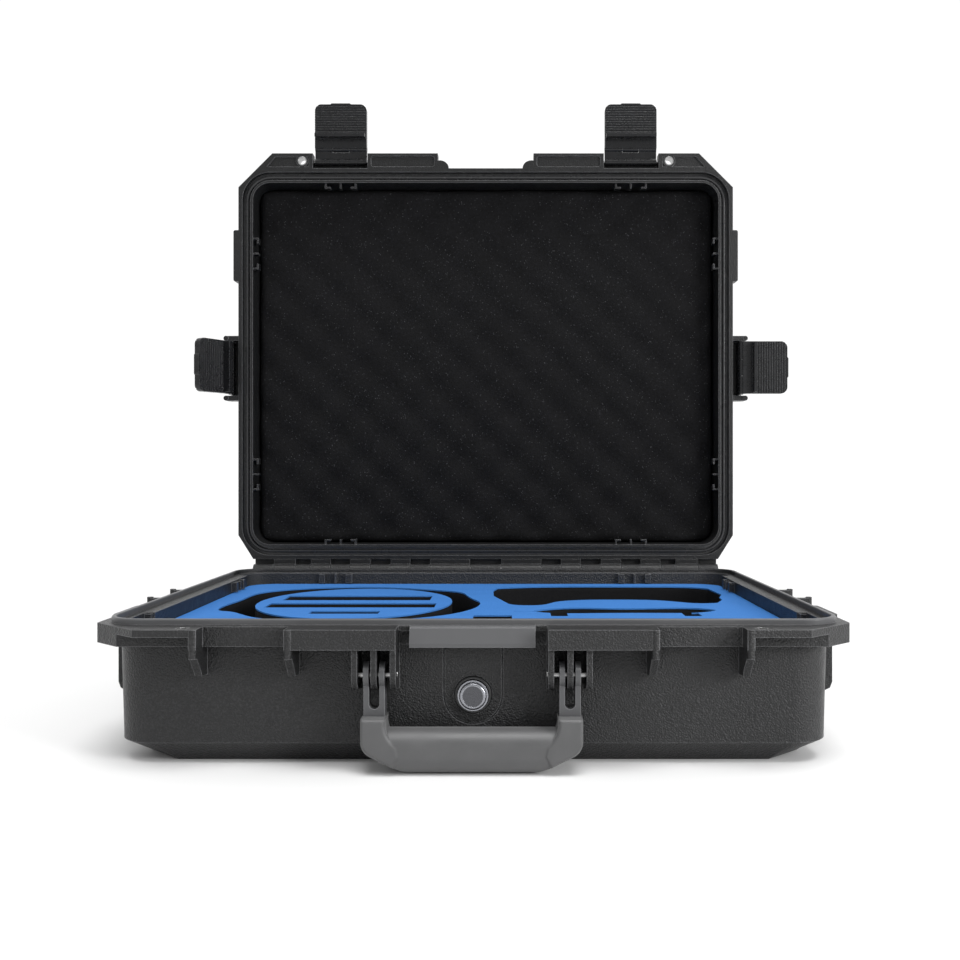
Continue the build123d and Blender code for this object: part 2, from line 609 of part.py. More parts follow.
def island_outline(plane):
    """The raised island inside the ring, with three slots."""
    with BuildSketch(plane) as island:
        with Locations(ISLAND[:2]):
            Ellipse(ISLAND[2], ISLAND[3])
        for slot_x, slot_y, slot_w, slot_d in ((-107, 58, 126, 34), (-106, 5, 138, 30), (-105, -41, 54, 17)):
            with Locations((slot_x, slot_y)):
                Rectangle(slot_w, slot_d, mode=Mode.SUBTRACT)
    return island.sketch


def foam_sheet(plane):
    """A sheet of the base foam around its pockets, notched for the valve's nut."""
    with BuildSketch(plane) as sheet:
        RectangleRounded(2 * FOAM_HALF_W, 2 * FOAM_HALF_D, FOAM_CORNER_R)
        add(pockets(Plane.XY), mode=Mode.SUBTRACT)
    return sheet.sketch


with BuildPart() as foam_floor:
    low = RIM_INSET + DRAFT_INSET + FOAM_GAP
    tub(
        base_mating,
        [
            (FOAM_FLOOR_TOP - BASE_H, low, BASE_BODY_R - WALL),
            (CHAMFER_Z + 1, low, BASE_BODY_R - WALL),
        ],
        foot=(WALL - BASE_H, low + BOTTOM_CHAMFER - WALL + 1, FOOT_CUT - 2),
    )
save(foam_floor, "foam_floor")

with BuildPart() as foam_core:
    extrude(foam_sheet(Plane.XY.offset(FOAM_FLOOR_TOP)), amount=FOAM_CORE_TOP - FOAM_FLOOR_TOP)
    with Locations((0, -FOAM_HALF_D, VALVE_Z)):
        Box(30, 22, 30, mode=Mode.SUBTRACT)
save(foam_core, "foam_core")

with BuildPart() as foam_top:
    extrude(foam_sheet(Plane.XY.offset(FOAM_CORE_TOP)), amount=FOAM_TOP - FOAM_CORE_TOP)
save(foam_top, "foam_top_blue")

with BuildPart() as foam_island:
    extrude(island_outline(Plane.XY.offset(FOAM_FLOOR_TOP)), amount=FOAM_CORE_TOP - FOAM_FLOOR_TOP)
save(foam_island, "foam_core_island")

with BuildPart() as foam_island_top:
    extrude(island_outline(Plane.XY.offset(FOAM_CORE_TOP)), amount=FOAM_TOP - FOAM_CORE_TOP)
save(foam_island_top, "foam_top_island")

# ---------------------------------------------------------------- lid shell

lid_fin = [(IN, 1), (PAD_PROUD - 2.5, 1), (PAD_PROUD - 2.5, 14), (PAD_PROUD - 5, 17), (IN, 27)]

with BuildPart() as lid_shell:
    extrude(flange_outline(lid_mating.offset(FACE_GAP)), amount=FLANGE_H)
    # Rounded step beside each handle pad, and the side tabs
    with BuildSketch(lid_mating.offset(FACE_GAP)) as steps:
        for side in (-1, 1):
            with Locations((side * (BLOCK_X - 2), FRONT)):
                Ellipse(9, 8)
            with Locations((side * (HALF_W + 1), (TAB_Y[0] + TAB_Y[1]) / 2 - HINGE_Y)):
                RectangleRounded(8, TAB_Y[1] - TAB_Y[0], 2)
    extrude(steps.sketch, amount=FLANGE_H)
    tub(
        lid_mating,
        [
            (FACE_GAP, BODY_INSET, LID_BODY_R),
            (LID_H - TOP_CHAMFER, BODY_INSET + 1, LID_BODY_R),
            (LID_H, BODY_INSET + 1 + TOP_CHAMFER, LID_BODY_R - 5),
        ],
    )
    # Raised border around a sunken panel on the lid's top, with four ribs across it
    with BuildSketch(lid_mating.offset(LID_H)) as panel:
        case_rectangle(58, 14)
    extrude(panel.sketch, amount=-1.2, mode=Mode.SUBTRACT)
    with BuildSketch(lid_mating.offset(LID_H - 2)) as panel_ribs:
        for rib_x in (-150, -50, 50, 150):
            with Locations((rib_x, MID)):
                RectangleRounded(26, CASE_D - 2 * 78, 8)
    extrude(panel_ribs.sketch, amount=2)
    for bay in lid_bays.values():
        bay_fins(bay, lid_fin, FACE_GAP, 14.5, PAD_PROUD)
        # Web between the fins, behind the latch's pin
        fin(bay, 0, [(IN, 14), (BAY_WEB_U, 14), (BAY_WEB_U, 17), (IN, 17)], BAY_GAP)
    knuckles(lid_mating, 1, LID_KNUCKLES, HINGE_PIN_R + RUNNING)
    # Web along the hinge side, just outside the reach of the knuckles
    with BuildSketch(lid_mating.offset(KNUCKLE_R + 0.6)) as hinge_web:
        with Locations((0, REAR + 4.5)):
            Rectangle(2 * BASE_KNUCKLES[-1][1], 10)
    extrude(hinge_web.sketch, amount=2.4)
    # Inside of the lid
    tub(
        lid_mating,
        [
            (-1, RIM_INSET, LID_BODY_R - WALL),
            (LID_H - TOP_CHAMFER, RIM_INSET + 1, LID_BODY_R - WALL),
            (LID_H - WALL - 1.2, RIM_INSET + 1 + TOP_CHAMFER - WALL, LID_BODY_R - WALL - 5),
        ],
        mode=Mode.SUBTRACT,
    )
    extrude(seal_ring(lid_mating, *GROOVE_INSET), amount=GROOVE_H, mode=Mode.SUBTRACT)
    wall_brackets(lid_mating, 1, 3.0, 12.0, RIM_INSET)
    # Shallow pockets in the pads' faces
    with BuildSketch(lid_mating) as pockets_in_pads:
        for side in (-1, 1):
            with Locations((side * (BLOCK_X + BAY_IN) / 2, FRONT - PAD_PROUD / 2 + 0.5)):
                RectangleRounded(BAY_IN - BLOCK_X - 7, 10.6, 2.5)
            with BuildLine():
                Polyline(
                    (side * (BAY_OUT + 4), FRONT - PAD_PROUD + 3.2),
                    (side * (BAY_OUT + 4), FRONT - 1.6),
                    (side * (BAY_OUT + 46), FRONT - 1.6),
                    (side * (BAY_OUT + 37.5), FRONT - PAD_PROUD + 3.2),
                    close=True,
                )
            make_face()
    extrude(pockets_in_pads.sketch, amount=2.2, mode=Mode.SUBTRACT)
    for side in (-1, 1):
        padlock_view = Plane(
            origin=lid_mating.from_local_coords((side * PADLOCK_X, FRONT - PADLOCK_U, FACE_GAP)),
            z_dir=(0, 1, 0),
        )
        disc(padlock_view, PADLOCK_BOSS_R, FLANGE_H)
        disc(padlock_view.offset(-1), PADLOCK_BUSH_R, FLANGE_H + 2, Mode.SUBTRACT)
    for bay in lid_bays.values():
        ear_view = Plane(
            origin=bay.from_local_coords((LATCH_PIN_U, LATCH_PIN_W, 0)), x_dir=bay.x_dir, z_dir=bay.z_dir
        )
        with BuildSketch(ear_view) as ear_bore:
            Circle(LATCH_PIN_R)
        extrude(ear_bore.sketch, amount=BAY_GAP / 2 + 8, both=True, mode=Mode.SUBTRACT)
save(lid_shell, "lid_shell")

with BuildPart() as lid_bushes:
    for side in (-1, 1):
        bush_view = Plane(
            origin=lid_mating.from_local_coords((side * PADLOCK_X, FRONT - PADLOCK_U, FACE_GAP)),
            z_dir=(0, 1, 0),
        )
        disc(bush_view, PADLOCK_BUSH_R, FLANGE_H)
        disc(bush_view, PADLOCK_R, FLANGE_H, Mode.SUBTRACT)
save(lid_bushes, "lid_padlock_bushes")

with BuildPart() as gasket:
    strip_low = GROOVE_H - GASKET_STRIP_H
    extrude(seal_ring(lid_mating.offset(strip_low), GROOVE_INSET[0], GROOVE_INSET[1]), amount=GASKET_STRIP_H)
    bead = seal_ring(lid_mating.offset(GASKET_BEAD_LOW), *GASKET_BEAD_INSET)
    extrude(bead, amount=GROOVE_H - GASKET_BEAD_LOW)
    fillet(gasket.edges().group_by(Axis.Y)[0], GASKET_ROUND)
save(gasket, "lid_gasket")

with BuildPart() as lid_foam:
    side_inset = RIM_INSET + 1 + FOAM_GAP
    tub(
        lid_mating,
        [
            (LID_FOAM_FACE, side_inset, LID_BODY_R - WALL - 1),
            (LID_H - TOP_CHAMFER - 1, side_inset, LID_BODY_R - WALL - 1),
            (LID_H - WALL - 1.2, side_inset + TOP_CHAMFER - WALL + 0.6, LID_BODY_R - WALL - 6),
        ],
    )
save(lid_foam, "lid_foam")

# ---------------------------------------------------------------- latches

for name, bay in lid_bays.items():
    link_angle, lever_angle = latch_rest[name]
    link_plane = Plane(
        origin=bay.from_local_coords((LATCH_PIN_U, LATCH_PIN_W, 0)),
        x_dir=bay.x_dir * cos(radians(link_angle)) + bay.y_dir * sin(radians(link_angle)),
        z_dir=bay.z_dir,
    )
    turned = link_angle + lever_angle
    lever_plane = Plane(
        origin=link_plane.from_local_coords((LINK_L, 0, 0)),
        x_dir=bay.x_dir * cos(radians(turned)) + bay.y_dir * sin(radians(turned)),
        z_dir=bay.z_dir,
    )

    with BuildPart() as latch_pin:
        disc(link_plane.offset(-BAY_GAP / 2 - 4.5), LATCH_PIN_R, BAY_GAP + 9)
    save(latch_pin, f"latch_pin_{name}")

    with BuildPart() as link:
        with BuildSketch(link_plane) as link_profile:
            Circle(BARREL_R)
            with Locations((LINK_L / 2, 0)):
                Rectangle(LINK_L, LINK_T)
            with Locations((LINK_L, 0)):
                Circle(BARREL_R)
        extrude(link_profile.sketch, amount=LATCH_W / 2, both=True)
        with BuildSketch(link_plane) as knuckle_gap:
            with Locations((LINK_L + 2, 0)):
                Rectangle(2 * (BARREL_R + 0.6) + 4, 2 * BARREL_R + 2)
        extrude(knuckle_gap.sketch, amount=LEVER_KNUCKLE_W / 2 + 0.4, both=True, mode=Mode.SUBTRACT)
        with BuildSketch(link_plane) as link_bores:
            Circle(LATCH_PIN_R + RUNNING)
            with Locations((LINK_L, 0)):
                Circle(LATCH_PIN_R)
        extrude(link_bores.sketch, amount=LATCH_W, both=True, mode=Mode.SUBTRACT)
    save(link, f"latch_link_{name}")

    with BuildPart() as link_pin:
        disc(lever_plane.offset(-LATCH_W / 2 + 0.5), LATCH_PIN_R, LATCH_W - 1)
    save(link_pin, f"latch_link_pin_{name}")

    with BuildPart() as lever:
        plate_t = LEVER_Y[1] - LEVER_Y[0]
        # Plate seen from its outer face, with its length along the view's X
        face_view = Plane(
            origin=lever_plane.from_local_coords((0, LEVER_Y[1], 0)),
            x_dir=lever_plane.x_dir,
            z_dir=lever_plane.y_dir,
        )
        with BuildSketch(face_view) as plate:
            with Locations((LEVER_END / 2, 0)):
                Rectangle(LEVER_END, LATCH_W)
            fillet(plate.vertices().group_by(Axis.X)[-1], 6.5)
            with Locations((LEVER_END - 8, 0)):
                RectangleRounded(18, 21, 2)
        extrude(plate.sketch, amount=-plate_t)
        # Its root is hollowed to wrap the link's barrel, around its own knuckle
        with BuildSketch(lever_plane) as root:
            Circle(BARREL_R + 0.4)
        extrude(root.sketch, amount=LATCH_W, both=True, mode=Mode.SUBTRACT)
        with BuildSketch(lever_plane) as knuckle:
            Circle(BARREL_R)
            with Locations((BARREL_R, -1)):
                Rectangle(2 * BARREL_R, 3.6)
        extrude(knuckle.sketch, amount=LEVER_KNUCKLE_W / 2, both=True)
        # Claw that pulls under the base flange
        with BuildSketch(lever_plane) as claw:
            with Locations(((CLAW_X[0] + CLAW_X[1]) / 2, LEVER_Y[0] - (CLAW_REACH + LEVER_Y[0]) / 2 + 0.5)):
                Rectangle(CLAW_X[1] - CLAW_X[0], CLAW_REACH + LEVER_Y[0] + 1)
        extrude(claw.sketch, amount=LATCH_W / 2 - 1, both=True)
        # Finger grooves across both faces
        with BuildSketch(lever_plane) as grooves:
            for step in range(12):
                with Locations((14.9 + RIB_PITCH * step, LEVER_Y[1]), (14.9 + RIB_PITCH * step, LEVER_Y[0])):
                    Rectangle(1.1, 1.4)
        extrude(grooves.sketch, amount=LATCH_W, both=True, mode=Mode.SUBTRACT)
        with BuildSketch(lever_plane) as lever_bore:
            Circle(LATCH_PIN_R + RUNNING)
        extrude(lever_bore.sketch, amount=LATCH_W, both=True, mode=Mode.SUBTRACT)
    save(lever, f"latch_lever_{name}")
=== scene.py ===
"""The looks of the open drone case: materials, soft foam, floor, light and camera."""

import json
import math

import bmesh
import bpy
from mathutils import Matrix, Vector, noise

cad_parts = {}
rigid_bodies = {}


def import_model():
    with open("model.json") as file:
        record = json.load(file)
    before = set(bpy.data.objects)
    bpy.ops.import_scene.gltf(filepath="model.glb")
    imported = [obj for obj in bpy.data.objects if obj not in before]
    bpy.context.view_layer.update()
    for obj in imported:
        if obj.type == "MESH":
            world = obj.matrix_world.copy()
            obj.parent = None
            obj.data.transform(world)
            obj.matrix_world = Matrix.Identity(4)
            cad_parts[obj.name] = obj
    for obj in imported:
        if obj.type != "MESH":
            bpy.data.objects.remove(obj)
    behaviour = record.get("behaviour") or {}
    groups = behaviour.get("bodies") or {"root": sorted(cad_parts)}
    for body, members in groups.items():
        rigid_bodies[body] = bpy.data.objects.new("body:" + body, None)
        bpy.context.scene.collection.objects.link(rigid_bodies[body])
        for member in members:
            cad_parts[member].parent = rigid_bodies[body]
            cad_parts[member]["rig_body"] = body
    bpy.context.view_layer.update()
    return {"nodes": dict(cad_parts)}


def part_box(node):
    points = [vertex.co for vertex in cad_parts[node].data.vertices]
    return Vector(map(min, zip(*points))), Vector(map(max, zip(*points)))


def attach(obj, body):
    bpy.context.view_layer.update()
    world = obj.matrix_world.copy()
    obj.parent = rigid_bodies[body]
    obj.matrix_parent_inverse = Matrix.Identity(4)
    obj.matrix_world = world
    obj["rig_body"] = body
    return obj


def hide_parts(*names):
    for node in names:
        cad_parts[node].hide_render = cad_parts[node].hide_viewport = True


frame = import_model()
nodes = frame["nodes"]
scene = bpy.context.scene

MM = 0.001

noise.seed_set(11)  # without a seed noise_vector, which the cut foam uses, starts from the clock


# ---------------------------------------------------------------- material helpers


class Shader:
    """A node material: small helpers that add nodes and return their output sockets."""

    def __init__(self, name):
        self.material = bpy.data.materials.new(name)
        self.material.use_nodes = True
        self.tree = self.material.node_tree
        self.principled = self.tree.nodes["Principled BSDF"]
        self.position = self.tree.nodes.new("ShaderNodeTexCoord").outputs["Object"]

    def set(self, socket, value):
        """Gives a socket of the surface one value all over."""
        self.principled.inputs[socket].default_value = value

    def link(self, source, socket):
        self.tree.links.new(source, socket)

    def noise(self, scale, detail=2.0, rough=0.5):
        """Soft noise, with scale features to the metre."""
        node = self.tree.nodes.new("ShaderNodeTexNoise")
        node.inputs["Scale"].default_value = scale
        node.inputs["Detail"].default_value = detail
        node.inputs["Roughness"].default_value = rough
        self.link(self.position, node.inputs["Vector"])
        return node.outputs["Fac"]

    def cells(self, scale, smooth=None):
        """The distance to the nearest of scattered points, with scale points to the metre."""
        node = self.tree.nodes.new("ShaderNodeTexVoronoi")
        node.inputs["Scale"].default_value = scale
        if smooth is not None:
            node.feature = "SMOOTH_F1"
            node.inputs["Smoothness"].default_value = smooth
        self.link(self.position, node.inputs["Vector"])
        return node.outputs["Distance"]

    def map(self, source, low, high, to_low, to_high):
        """Turns the range low to high into the range to_low to to_high, and holds its ends."""
        node = self.tree.nodes.new("ShaderNodeMapRange")
        values = (low, high, to_low, to_high)
        for key, value in zip(("From Min", "From Max", "To Min", "To Max"), values):
            node.inputs[key].default_value = value
        self.link(source, node.inputs["Value"])
        return node.outputs["Result"]

    def mix(self, factor, a, b):
        """Colour a where the factor is 0, colour b where it is 1."""
        node = self.tree.nodes.new("ShaderNodeMix")
        node.data_type = "RGBA"
        self.link(factor, node.inputs["Factor"])
        first_colour, second_colour = node.inputs[6], node.inputs[7]
        for value, socket in ((a, first_colour), (b, second_colour)):
            if isinstance(value, tuple):
                socket.default_value = (*value, 1)
            else:
                self.link(value, socket)
        mixed_colour = node.outputs[2]
        return mixed_colour

    def math(self, operation, a, b):
        node = self.tree.nodes.new("ShaderNodeMath")
        node.operation = operation
        for value, socket in zip((a, b), node.inputs):
            if isinstance(value, (int, float)):
                socket.default_value = value
            else:
                self.link(value, socket)
        return node.outputs[0]

    def vector_math(self, operation, *sources):
        """A number worked out from vectors."""
        node = self.tree.nodes.new("ShaderNodeVectorMath")
        node.operation = operation
        for source, socket in zip(sources, node.inputs):
            self.link(source, socket)
        return node.outputs["Value"]

    def along(self, axis, low, high):
        """Rises from 0 to 1 between two places on an axis of the object."""
        node = self.tree.nodes.new("ShaderNodeSeparateXYZ")
        self.link(self.position, node.inputs[0])
        return self.map(node.outputs[axis], low, high, 0.0, 1.0)

    def within(self, axis, low, high):
        """1 between two places on an axis of the object, 0 outside them."""
        soft = 0.3 * MM
        rise = self.along(axis, low - soft, low)
        fall = self.along(axis, high + soft, high)
        return self.math("MULTIPLY", rise, fall)

    def inside(self, panels):
        """1 inside any of the panels, 0 elsewhere. A panel is a list of ranges (axis, low, high)."""
        whole = None
        for panel in panels:
            area = None
            for axis, low, high in panel:
                part = self.within(axis, low, high)
                area = self.math("MULTIPLY", area, part) if area else part
            whole = self.math("MAXIMUM", whole, area) if whole else area
        return whole

    def disc(self, height, radius):
        """1 inside a circle seen along the Y axis, with its centre on X = 0 at this height."""
        flat = self.tree.nodes.new("ShaderNodeMapping")
        flat.inputs["Scale"].default_value = (1, 0, 1)
        flat.inputs["Location"].default_value = (0, 0, -height)
        self.link(self.position, flat.inputs["Vector"])
        reach = self.vector_math("LENGTH", flat.outputs["Vector"])
        return self.map(reach, radius, 0.92 * radius, 0.0, 1.0)

    def bump(self, height, strength, distance, under=None):
        """Fine relief of the surface, laid over the normal given as under."""
        node = self.tree.nodes.new("ShaderNodeBump")
        node.inputs["Strength"].default_value = strength
        node.inputs["Distance"].default_value = distance
        self.link(height, node.inputs["Height"])
        if under is not None:
            self.link(under, node.inputs["Normal"])
        self.link(node.outputs["Normal"], self.principled.inputs["Normal"])

    def round_edges(self, radius):
        """The surface's normal with its sharp edges rounded off."""
        node = self.tree.nodes.new("ShaderNodeBevel")
        node.samples = 4
        node.inputs["Radius"].default_value = radius
        return node.outputs["Normal"]

    def edges(self, radius):
        """Where the surface turns sharply: 1 on an edge, 0 on a face."""
        flat = self.tree.nodes.new("ShaderNodeNewGeometry").outputs["Normal"]
        agreement = self.vector_math("DOT_PRODUCT", self.round_edges(radius), flat)
        return self.map(agreement, 0.80, 0.985, 1.0, 0.0)

    def colour(self, source):
        self.link(source, self.principled.inputs["Base Color"])

    def roughness(self, source):
        self.link(source, self.principled.inputs["Roughness"])


def grey(value, tint=0.0):
    """A grey with a slight cool tint."""
    return (value, value * (1 + tint * 0.2), value * (1 + tint))


# ---------------------------------------------------------------- the kinds of surface

# Scales of the plastic's marks, in features to the metre
FLOW_MARKS = 14
BLOTCHES = 160
PEBBLES = 800
PEBBLE_TOOTH = 1100
FLECKS = 900
FINE_TOOTH = 700

# paler tone of the smooth panels, a painted highlight
PANEL_HIGHLIGHT_SHADE = 0.075
# colour of the painted highlight along edges
EDGE_HIGHLIGHT_SHADE = 0.3


def moulded(name, shade, rough, grain=0.0, tint=0.05, edge_highlight_share=0.5, gloss=0.4, panels=(), edge_width=1.0 * MM):
    """Moulded plastic: a pebbled grain, faint flow marks, and a painted highlight along its edges.

    The panels bound smooth areas, given a paler tone as a painted highlight. Without grain the surface has
    only a fine tooth.
    """
    s = Shader(name)
    flow = s.noise(FLOW_MARKS, 4, 0.6)
    blotch = s.noise(BLOTCHES, 3, 0.6)
    tone = s.mix(flow, grey(shade * 0.82, tint), grey(shade * 1.15, tint))
    tone = s.mix(s.map(blotch, 0.35, 0.75, 0.0, 0.4), tone, grey(shade * 1.3, tint))
    smooth = s.inside(panels)
    if smooth:
        # painted highlight: the smooth panels get a paler tone
        tone = s.mix(smooth, tone, grey(PANEL_HIGHLIGHT_SHADE, tint))
    normal = s.round_edges(0.6 * MM)
    if grain:
        pebbles = s.math("ADD", s.cells(PEBBLES, smooth=0.4), s.noise(PEBBLE_TOOTH, 2, 0.6))
        fleck = s.map(s.noise(FLECKS, 1, 0.5), 0.45, 0.70, 0.0, 0.8)
        if smooth:
            plain = s.math("SUBTRACT", 1.0, smooth)
            pebbles = s.math("MULTIPLY", pebbles, plain)
            fleck = s.math("MULTIPLY", fleck, plain)
        tone = s.mix(fleck, tone, grey(shade * 2.2, tint))
        s.bump(pebbles, grain, 0.5 * MM, normal)
    else:
        s.bump(s.noise(FINE_TOOTH, 2, 0.5), 0.12, 0.1 * MM, normal)
    # painted highlight: edges are lightened in colour, more in some patches than in others
    painted_edge_glint = s.math("MULTIPLY", s.edges(edge_width), s.map(blotch, 0.25, 0.6, 0.6 * edge_highlight_share, edge_highlight_share))
    s.colour(s.mix(painted_edge_glint, tone, grey(EDGE_HIGHLIGHT_SHADE, tint)))
    s.roughness(s.map(blotch, 0.25, 0.75, rough - 0.06, rough + 0.07))
    s.set("Specular IOR Level", gloss)
    return s.material


def soft_rubber(name, shade, rough, tint=0.03, sheen=0.15, round_off=2 * MM, dusty=0.5):
    """Rubber: soft gloss, very fine tooth, and dust that lightens it in places."""
    s = Shader(name)
    dust = s.noise(60, 5, 0.65)
    clean, dusted = grey(shade * 0.92, tint), grey(shade * 1.3, tint)
    s.colour(s.mix(s.map(dust, 0.4, 0.8, 0.0, dusty), clean, dusted))
    s.roughness(s.map(dust, 0.3, 0.7, rough - 0.05, rough + 0.1))
    s.bump(s.noise(1100, 2, 0.6), 0.2, 0.1 * MM, s.round_edges(round_off) if round_off else None)
    s.set("Sheen Weight", sheen)
    s.set("Sheen Roughness", 0.5)
    return s.material


def bright_metal(name, shade, rough, tint=0.0, painted_dish_shade=None):
    """Metal with a fine uneven polish.

    The last argument gives the height and radius of a round face, looking along the Y axis, that is darkened
    with painted shade.
    """
    s = Shader(name)
    polish = s.noise(900, 3, 0.6)
    tone = s.mix(polish, grey(shade * 0.85, tint), grey(min(1, shade * 1.1), tint))
    if painted_dish_shade:
        # painted shade: the recessed round face is darkened
        tone = s.mix(s.disc(*painted_dish_shade), tone, grey(shade * 0.3, tint))
    s.colour(tone)
    s.roughness(s.map(polish, 0.3, 0.7, rough - 0.06, rough + 0.08))
    s.set("Metallic", 1.0)
    s.bump(polish, 0.08, 0.05 * MM, s.round_edges(0.3 * MM))
    return s.material


def foam_look(name, dark, light, cell=1500, specks=None):
    """Closed-cell foam: tiny cells in the bump and colour, and scattered specks of a colour."""
    s = Shader(name)
    cells = s.cells(cell)
    fine = s.noise(cell * 0.6, 3, 0.7)
    broad = s.noise(25, 3, 0.6)
    tone = s.mix(s.map(fine, 0.3, 0.7, 0.0, 1.0), dark, light)
    tone = s.mix(s.map(broad, 0.3, 0.7, 0.0, 0.25), tone, tuple(0.75 * c for c in dark))
    if specks:
        dots = s.map(s.cells(430), 0.0, 0.26, 1.0, 0.0)
        some = s.map(s.noise(260, 1, 0.5), 0.44, 0.68, 0.0, 1.0)
        tone = s.mix(s.math("MULTIPLY", dots, some), tone, specks)
    s.colour(tone)
    s.roughness(s.map(fine, 0.2, 0.8, 0.8, 0.98))
    s.set("Specular IOR Level", 0.12)
    s.bump(s.math("ADD", cells, fine), 0.5, 0.3 * MM)
    return s.material


# ---------------------------------------------------------------- materials on the CAD pieces

# The smooth block between the handle's lugs, and the base's sealing lip, both given a paler tone as a
# painted highlight
BLOCK = [("X", -41 * MM, 41 * MM), ("Y", -215 * MM, -188 * MM), ("Z", 72 * MM, 92 * MM)]
LIP = [("Y", -200 * MM, 150 * MM), ("Z", 92.2 * MM, 97 * MM)]
# The valve knob's recessed round face, darkened with painted shade, at this height and radius
VALVE_Z = 45.7 * MM
VALVE_DISH_R = 6.9 * MM

SHELL = moulded("shell_plastic", 0.013, 0.38, grain=0.9, gloss=0.32, panels=[BLOCK, LIP])
SHELL_LID = moulded("lid_plastic", 0.008, 0.38, grain=0.4, edge_highlight_share=0.45, gloss=0.30)
LATCH = moulded("latch_plastic", 0.008, 0.28, tint=0.12, edge_highlight_share=0.3, gloss=0.32, edge_width=0.3 * MM)
HARD_BLACK = moulded("hard_black_plastic", 0.010, 0.36)
HANDLE_ARM = moulded("handle_plastic", 0.065, 0.38, tint=0.06)
GRIP = soft_rubber("grip_rubber", 0.070, 0.42)
GASKET = soft_rubber("gasket_rubber", 0.030, 0.24, tint=0.06, sheen=0.03, round_off=None, dusty=0.1)
O_RING = soft_rubber("o_ring_rubber", 0.02, 0.35, round_off=None)
STEEL = bright_metal("pin_steel", 0.40, 0.28)
KNOB = bright_metal("valve_metal", 0.30, 0.27, tint=0.1, painted_dish_shade=(VALVE_Z, VALVE_DISH_R))
FOAM_BLACK = foam_look("foam_black", (0.005, 0.005, 0.006), (0.012, 0.012, 0.013))
FOAM_LID = foam_look(
    "foam_lid", (0.003, 0.003, 0.003), (0.009, 0.009, 0.010), cell=700, specks=(0.085, 0.085, 0.09)
)
FOAM_BLUE = foam_look("foam_blue", (0.036, 0.150, 0.42), (0.052, 0.185, 0.49))

looks = {
    "base_shell": SHELL,
    "lid_shell": SHELL_LID,
    "lid_gasket": GASKET,
    "valve_o_ring": O_RING,
    "valve_knob": KNOB,
    "valve_body": HARD_BLACK,
    "valve_nut": HARD_BLACK,
    "handle_frame": HANDLE_ARM,
    "handle_grip": GRIP,
    "foam_floor": FOAM_BLACK,
    "foam_core": FOAM_BLACK,
    "foam_core_island": FOAM_BLACK,
    "foam_top_blue": FOAM_BLUE,
    "foam_top_island": FOAM_BLUE,
    "lid_foam": FOAM_LID,
}


def look_of(node):
    """The material for a CAD node: its own, steel for pins and eyelets, or the latches' plastic."""
    if node in looks:
        return looks[node]
    if "pin" in node or "bushes" in node:
        return STEEL
    return LATCH


for node, obj in nodes.items():
    obj.data.materials.clear()
    obj.data.materials.append(look_of(node))


# ---------------------------------------------------------------- soft foam


def add(name, data):
    """A new object in the scene."""
    obj = bpy.data.objects.new(name, data)
    scene.collection.objects.link(obj)
    return obj


def settle(piece):
    """Applies a piece's modifiers to its mesh."""
    graph = bpy.context.evaluated_depsgraph_get()
    mesh = bpy.data.meshes.new_from_object(piece.evaluated_get(graph))
    piece.modifiers.clear()
    piece.data = mesh


def stand_in(piece, node):
    """Puts a finished foam piece in a CAD node's place, on its body and in its material."""
    piece.data.materials.clear()
    piece.data.materials.append(look_of(node))
    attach(piece, nodes[node]["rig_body"])
    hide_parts(node)


def cut_block(node, name, voxel, uneven):
    """Foam cut by hand: the node's own shape with eased edges and a slightly uneven cut."""
    piece = add(name, nodes[node].data.copy())
    remesh = piece.modifiers.new("remesh", "REMESH")
    remesh.mode = "VOXEL"
    remesh.voxel_size = voxel
    remesh.use_smooth_shade = True
    ease = piece.modifiers.new("ease", "SMOOTH")
    ease.factor = 0.5
    ease.iterations = 1
    settle(piece)
    for vertex in piece.data.vertices:
        drift = noise.noise_vector(vertex.co * 60) * 0.7 + noise.noise_vector(vertex.co * 260) * 0.3
        vertex.co += drift * uneven
    stand_in(piece, node)


def cut_sheet(node, name):
    """The thin blue layer: the node's own outline with its cut edges eased."""
    piece = add(name, nodes[node].data.copy())
    ease = piece.modifiers.new("ease", "BEVEL")
    ease.width = 0.45 * MM
    ease.segments = 2
    ease.angle_limit = math.radians(50)
    settle(piece)
    stand_in(piece, node)


cut_block("foam_floor", "cut_foam_floor", voxel=3 * MM, uneven=0.2 * MM)
cut_block("foam_core", "cut_foam_core", voxel=1.6 * MM, uneven=0.25 * MM)
cut_block("foam_core_island", "cut_foam_island", voxel=1.6 * MM, uneven=0.25 * MM)
cut_sheet("foam_top_blue", "cut_foam_blue")
cut_sheet("foam_top_island", "cut_foam_island_blue")

# Egg-crate foam in the lid: rows of soft peaks, staggered, on a slab with rounded corners
PEAK_X, PEAK_Z = 25.4 * MM, 24.0 * MM
PEAK_H = 3.4 * MM
VALLEY_POWER = 1.3  # above 1 the peaks are broader than the valleys
SLAB_CORNER = 14 * MM
SLAB_COLUMNS, SLAB_ROWS = 220, 170
FACE_ROOM, BACK_ROOM = 0.6 * MM, 0.3 * MM  # kept free inside the node's box
BACK_SIZE = 0.955  # the back's size over the face's
EDGE_BAND, EDGE_SINK = 7 * MM, 4 * MM  # within this distance of its edge the face sinks this far
LUMP_SCALE, LUMP_H = 30, 0.8 * MM
RIM_DRIFT = 0.005  # a place is drawn in by about this share of its distance from the middle


def rounded(x, z, half_x, half_z):
    """A place on a rectangle, drawn in where the corners are round."""
    over_x, over_z = abs(x) - (half_x - SLAB_CORNER), abs(z) - (half_z - SLAB_CORNER)
    if over_x > 0 and over_z > 0:
        reach = math.hypot(over_x, over_z)
        most = max(over_x, over_z)
        x = math.copysign(half_x - SLAB_CORNER + over_x * most / reach, x)
        z = math.copysign(half_z - SLAB_CORNER + over_z * most / reach, z)
    return x, z


